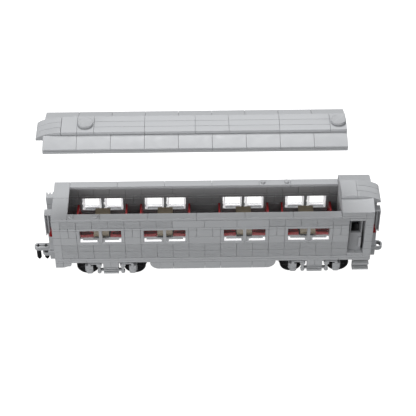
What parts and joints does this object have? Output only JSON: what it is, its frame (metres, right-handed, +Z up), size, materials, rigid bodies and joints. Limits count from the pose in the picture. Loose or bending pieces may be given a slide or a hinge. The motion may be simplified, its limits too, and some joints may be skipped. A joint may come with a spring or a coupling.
{
  "type": "model passenger coach",
  "caption": "Light grey brick-built model railway coach with fluted sides, a lift-off roof raised above the seats, two swivelling bogies and end couplers.",
  "frame": {"origin": "under the middle of the whole coach, couplers included, at rail height, where the wheel flanges stand", "axes": "+X along the coach to the end with the side doors and the fixed roof, +Y across it to its far side, +Z up"},
  "size_m": [0.3598, 0.056, 0.1855],
  "materials": {
    "light_grey_plastic": "smooth semi-gloss moulded ABS",
    "fluted_grey_plastic": "semi-gloss moulded ABS with fine level flutes",
    "dark_red_plastic": "smooth semi-gloss moulded ABS",
    "dark_tan_plastic": "smooth semi-gloss moulded ABS",
    "black_plastic": "satin moulded ABS",
    "axle_steel": "drawn steel rod",
    "clear_plastic": "clear polished polycarbonate",
    "clear_red_plastic": "clear red polished plastic"
  },
  "bodies": {
    "coach_body": {"underframe": "light_grey_plastic", "near_lower_wall": "fluted_grey_plastic", "far_lower_wall": "fluted_grey_plastic", "near_upper_wall": "light_grey_plastic", "far_upper_wall": "light_grey_plastic", "top_frame": "light_grey_plastic", "left_end_wall": "light_grey_plastic", "right_end_wall": "light_grey_plastic", "vestibule_partition": "light_grey_plastic", "end_roof": "light_grey_plastic", "centre_skirt": "light_grey_plastic", "near_steps": "light_grey_plastic", "far_steps": "light_grey_plastic", "left_gangway": "light_grey_plastic", "right_gangway": "light_grey_plastic", "left_near_tail_lamp": "clear_red_plastic", "left_far_tail_lamp": "clear_red_plastic", "right_near_tail_lamp": "clear_red_plastic", "right_far_tail_lamp": "clear_red_plastic", "near_window_1": "clear_plastic", "near_window_2": "clear_plastic", "near_window_3": "clear_plastic", "near_window_4": "clear_plastic", "far_window_1": "clear_plastic", "far_window_2": "clear_plastic", "far_window_3": "clear_plastic", "far_window_4": "clear_plastic", "seat_bay_1": "dark_red_plastic", "seat_bay_2": "dark_red_plastic", "seat_bay_3": "dark_red_plastic", "seat_bay_4": "dark_red_plastic", "table_1": "dark_tan_plastic", "table_2": "dark_tan_plastic", "table_3": "dark_tan_plastic", "table_4": "dark_tan_plastic"},
    "roof": {"roof_plate": "light_grey_plastic", "near_roof_slope": "light_grey_plastic", "far_roof_slope": "light_grey_plastic", "roof_ridge": "light_grey_plastic", "roof_canopy": "light_grey_plastic", "left_roof_vent": "light_grey_plastic", "right_roof_vent": "light_grey_plastic"},
    "near_door_leaf": {"near_door": "light_grey_plastic"},
    "far_door_leaf": {"far_door": "light_grey_plastic"},
    "left_bogie": {"left_bogie_frame": "light_grey_plastic"},
    "right_bogie": {"right_bogie_frame": "light_grey_plastic"},
    "wheelset_1": {"axle_1": "axle_steel", "near_wheel_1": "black_plastic", "far_wheel_1": "black_plastic"},
    "wheelset_2": {"axle_2": "axle_steel", "near_wheel_2": "black_plastic", "far_wheel_2": "black_plastic"},
    "wheelset_3": {"axle_3": "axle_steel", "near_wheel_3": "black_plastic", "far_wheel_3": "black_plastic"},
    "wheelset_4": {"axle_4": "axle_steel", "near_wheel_4": "black_plastic", "far_wheel_4": "black_plastic"},
    "left_coupling": {"left_coupler": "light_grey_plastic"},
    "right_coupling": {"right_coupler": "light_grey_plastic"}
  },
  "joints": [
    {"name": "roof_lift", "type": "slide", "parent": "coach_body", "child": "roof", "axis": [0, 0, 1], "range_m": [-0.0853, 0]},
    {"name": "near_door_hinge", "type": "hinge", "parent": "coach_body", "child": "near_door_leaf", "pos_m": [0.142, -0.022, 0.03304], "axis": [0, 0, 1], "range_deg": [-90, 0]},
    {"name": "far_door_hinge", "type": "hinge", "parent": "coach_body", "child": "far_door_leaf", "pos_m": [0.142, 0.022, 0.03304], "axis": [0, 0, 1], "range_deg": [0, 90]},
    {"name": "left_bogie_swivel", "type": "hinge", "parent": "coach_body", "child": "left_bogie", "pos_m": [-0.1, 0, 0.01254], "axis": [0, 0, 1], "range_deg": [-8, 8]},
    {"name": "right_bogie_swivel", "type": "hinge", "parent": "coach_body", "child": "right_bogie", "pos_m": [0.108, 0, 0.01254], "axis": [0, 0, 1], "range_deg": [-8, 8]},
    {"name": "wheelset_1_spin", "type": "hinge", "parent": "left_bogie", "child": "wheelset_1", "pos_m": [-0.124, 0, 0.01254], "axis": [0, 1, 0], "continuous": true},
    {"name": "wheelset_2_spin", "type": "hinge", "parent": "left_bogie", "child": "wheelset_2", "pos_m": [-0.076, 0, 0.01254], "axis": [0, 1, 0], "continuous": true},
    {"name": "wheelset_3_spin", "type": "hinge", "parent": "right_bogie", "child": "wheelset_3", "pos_m": [0.084, 0, 0.01254], "axis": [0, 1, 0], "continuous": true},
    {"name": "wheelset_4_spin", "type": "hinge", "parent": "right_bogie", "child": "wheelset_4", "pos_m": [0.132, 0, 0.01254], "axis": [0, 1, 0], "continuous": true},
    {"name": "left_coupler_swing", "type": "hinge", "parent": "coach_body", "child": "left_coupling", "pos_m": [-0.152, 0, 0.02174], "axis": [0, 0, 1], "range_deg": [-15, 15]},
    {"name": "right_coupler_swing", "type": "hinge", "parent": "coach_body", "child": "right_coupling", "pos_m": [0.16, 0, 0.01854], "axis": [0, 0, 1], "range_deg": [-15, 15]}
  ]
}
